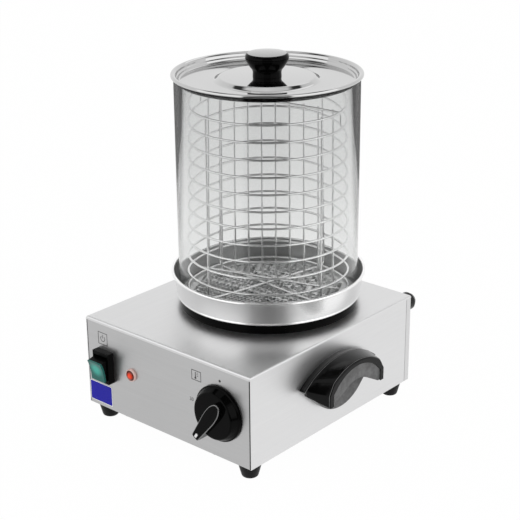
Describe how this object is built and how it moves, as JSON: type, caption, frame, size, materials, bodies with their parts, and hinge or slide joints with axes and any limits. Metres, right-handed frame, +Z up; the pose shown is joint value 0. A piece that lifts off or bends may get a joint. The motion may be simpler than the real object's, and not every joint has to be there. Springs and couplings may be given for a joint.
{
  "type": "hot dog steamer",
  "caption": "Countertop steamer with a glass cylinder over a heated base, a divided wire basket, a knobbed lid, a thermostat, a rocker switch and two carrying handles.",
  "frame": {"origin": "on the table, under the middle of the outer box", "axes": "+Z up; -Y towards the control panel; +X to the right seen from the panel"},
  "size_m": [0.3014, 0.3094, 0.4038],
  "materials": {
    "brushed_steel": "brushed stainless steel sheet",
    "polished_steel": "polished stainless steel",
    "spun_aluminium": "satin spun aluminium",
    "clear_glass": "clear heat-resistant glass",
    "black_plastic": "satin black moulded plastic",
    "black_gloss": "glossy black moulded plastic",
    "black_enamel": "black coated metal",
    "black_rubber": "black rubber",
    "chromed_wire": "chromed steel wire",
    "zinc_steel": "zinc-plated steel",
    "pan_steel": "pressed stainless steel",
    "heater_sheath": "dark heater sheath",
    "white_ceramic": "white ceramic",
    "grey_plastic": "light plastic",
    "green_lens": "clear green plastic",
    "red_lens": "clear orange-red plastic",
    "brass": "brass"
  },
  "bodies": {
    "base": {"casing": "brushed_steel", "front_panel": "brushed_steel", "rear_panel": "brushed_steel", "base_plate": "pan_steel", "rubber_feet": "black_rubber", "foot_screws": "zinc_steel", "foot_nuts": "zinc_steel", "panel_screws": "zinc_steel", "water_pan": "pan_steel", "seat_ring": "black_enamel", "heating_element": "heater_sheath", "element_clamp": "zinc_steel", "clamp_nut": "zinc_steel", "thermal_cutout": "white_ceramic", "sensor_bulb": "brass", "bulb_clip": "zinc_steel", "thermostat_body": "white_ceramic", "thermostat_screws": "zinc_steel", "switch_housing": "black_plastic", "lamp_lens": "red_lens", "lamp_holder": "grey_plastic", "cable_gland": "black_plastic", "gland_nut": "black_plastic", "terminal_block": "grey_plastic", "handle_left": "black_plastic", "handle_right": "black_plastic", "handle_screws": "zinc_steel"},
    "tray": {"steam_tray": "spun_aluminium", "perforated_plate": "spun_aluminium"},
    "glass": {"glass_cylinder": "clear_glass"},
    "lid": {"lid_shell": "polished_steel", "lid_knob": "black_gloss", "lid_screw": "zinc_steel"},
    "basket": {"basket_rings": "chromed_wire", "basket_uprights": "chromed_wire", "basket_divider": "chromed_wire"},
    "control_knob": {"thermostat_knob": "black_plastic", "thermostat_shaft": "brass"},
    "rocker": {"switch_rocker": "black_plastic", "rocker_lens": "green_lens"}
  },
  "joints": [
    {"name": "tray_lift", "type": "slide", "parent": "base", "child": "tray", "axis": [0, 0, 1], "range_m": [0, 0.06]},
    {"name": "glass_lift", "type": "slide", "parent": "tray", "child": "glass", "axis": [0, 0, 1], "range_m": [0, 0.25]},
    {"name": "lid_lift", "type": "slide", "parent": "glass", "child": "lid", "axis": [0, 0, 1], "range_m": [0, 0.3]},
    {"name": "basket_lift", "type": "slide", "parent": "tray", "child": "basket", "axis": [0, 0, 1], "range_m": [0, 0.24]},
    {"name": "thermostat_turn", "type": "hinge", "parent": "base", "child": "control_knob", "pos_m": [0.0778, -0.1363, 0.069], "axis": [0, 1, 0], "range_deg": [-215, 85]},
    {"name": "switch_rock", "type": "hinge", "parent": "base", "child": "rocker", "pos_m": [-0.0914, -0.1403, 0.071], "axis": [1, 0, 0], "range_deg": [-26, 0]}
  ],
  "couplings": [
    {"joint": "basket_lift", "follows": "lid_lift", "ratio": 0.8}
  ]
}
